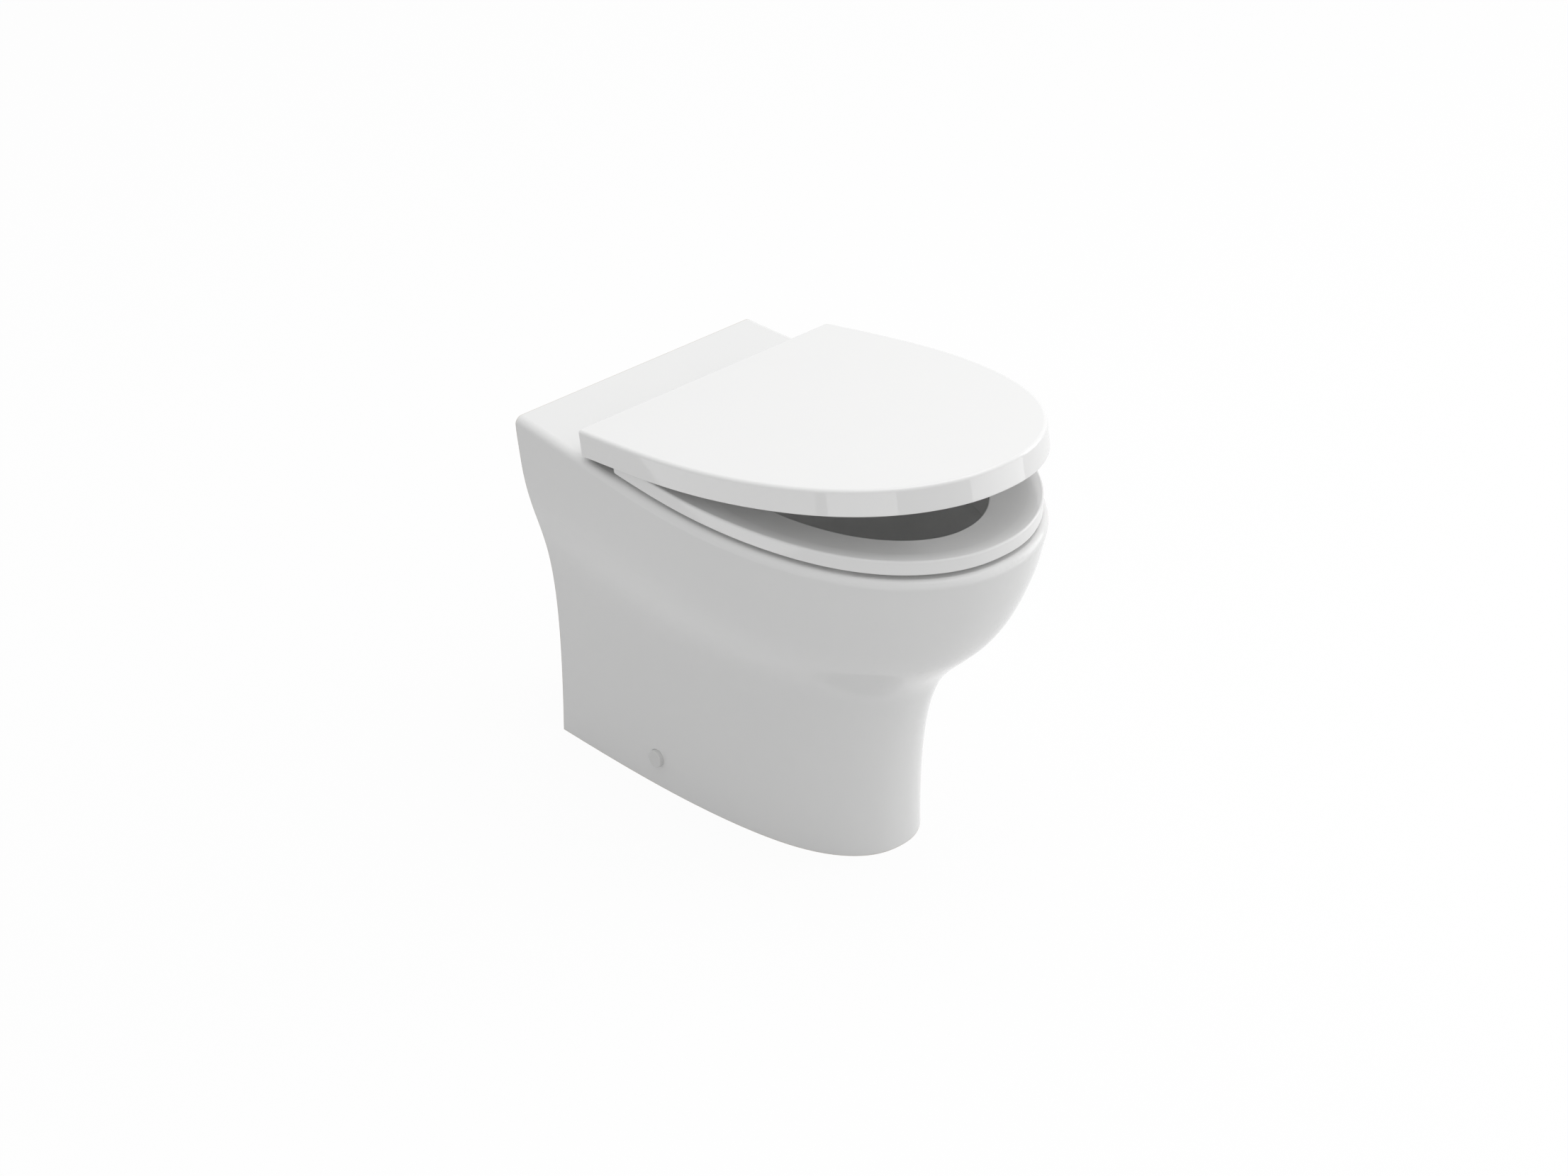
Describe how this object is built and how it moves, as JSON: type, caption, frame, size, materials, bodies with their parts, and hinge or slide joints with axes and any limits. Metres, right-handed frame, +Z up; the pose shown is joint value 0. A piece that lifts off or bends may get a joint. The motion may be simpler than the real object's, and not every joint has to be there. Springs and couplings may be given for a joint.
{
  "type": "toilet",
  "caption": "Back-to-wall toilet pan in white glazed china, with a seat ring and a wrap-over lid on damped hinges, a rear flush inlet and a horizontal outlet.",
  "frame": {"origin": "on the floor, under the middle of the part's outside box", "axes": "+X to the right of someone who faces the front, +Y to the back, towards the wall, +Z up"},
  "size_m": [0.3614, 0.5522, 0.5111],
  "materials": {
    "glazed_china": "white glaze, glossy",
    "seat_white": "white moulded, glossy",
    "hinge_white": "white moulded, satin",
    "cap_white": "white moulded, glossy",
    "buffer_rubber": "soft white rubber",
    "gasket_rubber": "grey rubber",
    "damper_grey": "grey moulded",
    "pin_steel": "bright stainless",
    "nut_plastic": "natural moulded",
    "bracket_plastic": "natural moulded"
  },
  "bodies": {
    "pan": {"pan_skirt": "glazed_china", "pan_back": "glazed_china", "pan_bowl": "glazed_china", "pan_trap": "glazed_china", "pan_inlet": "glazed_china", "pan_side_left": "glazed_china", "pan_side_right": "glazed_china", "hinge_post_left": "hinge_white", "hinge_post_right": "hinge_white", "hinge_pin_left": "pin_steel", "hinge_pin_right": "pin_steel", "fixing_cap_left": "cap_white", "fixing_cap_right": "cap_white", "floor_bracket_left": "bracket_plastic", "floor_bracket_right": "bracket_plastic", "seat_damper_rotor": "damper_grey", "lid_damper_rotor": "damper_grey", "hinge_gaskets": "gasket_rubber", "hinge_studs": "pin_steel", "hinge_washers": "nut_plastic", "hinge_nuts": "nut_plastic", "fixing_screws": "pin_steel", "fixing_sleeves": "nut_plastic"},
    "seat": {"seat_ring": "seat_white", "seat_buffers": "buffer_rubber", "seat_damper_body": "damper_grey"},
    "lid": {"lid": "seat_white", "lid_buffers": "buffer_rubber", "lid_damper_body": "damper_grey"}
  },
  "joints": [
    {"name": "seat_hinge", "type": "hinge", "parent": "pan", "child": "seat", "pos_m": [0, 0.15165, 0.42171], "axis": [-1, 0, 0], "range_deg": [0, 90]},
    {"name": "lid_hinge", "type": "hinge", "parent": "seat", "child": "lid", "pos_m": [0, 0.15165, 0.42171], "axis": [-1, 0, 0], "range_deg": [-10.2, 82]}
  ]
}
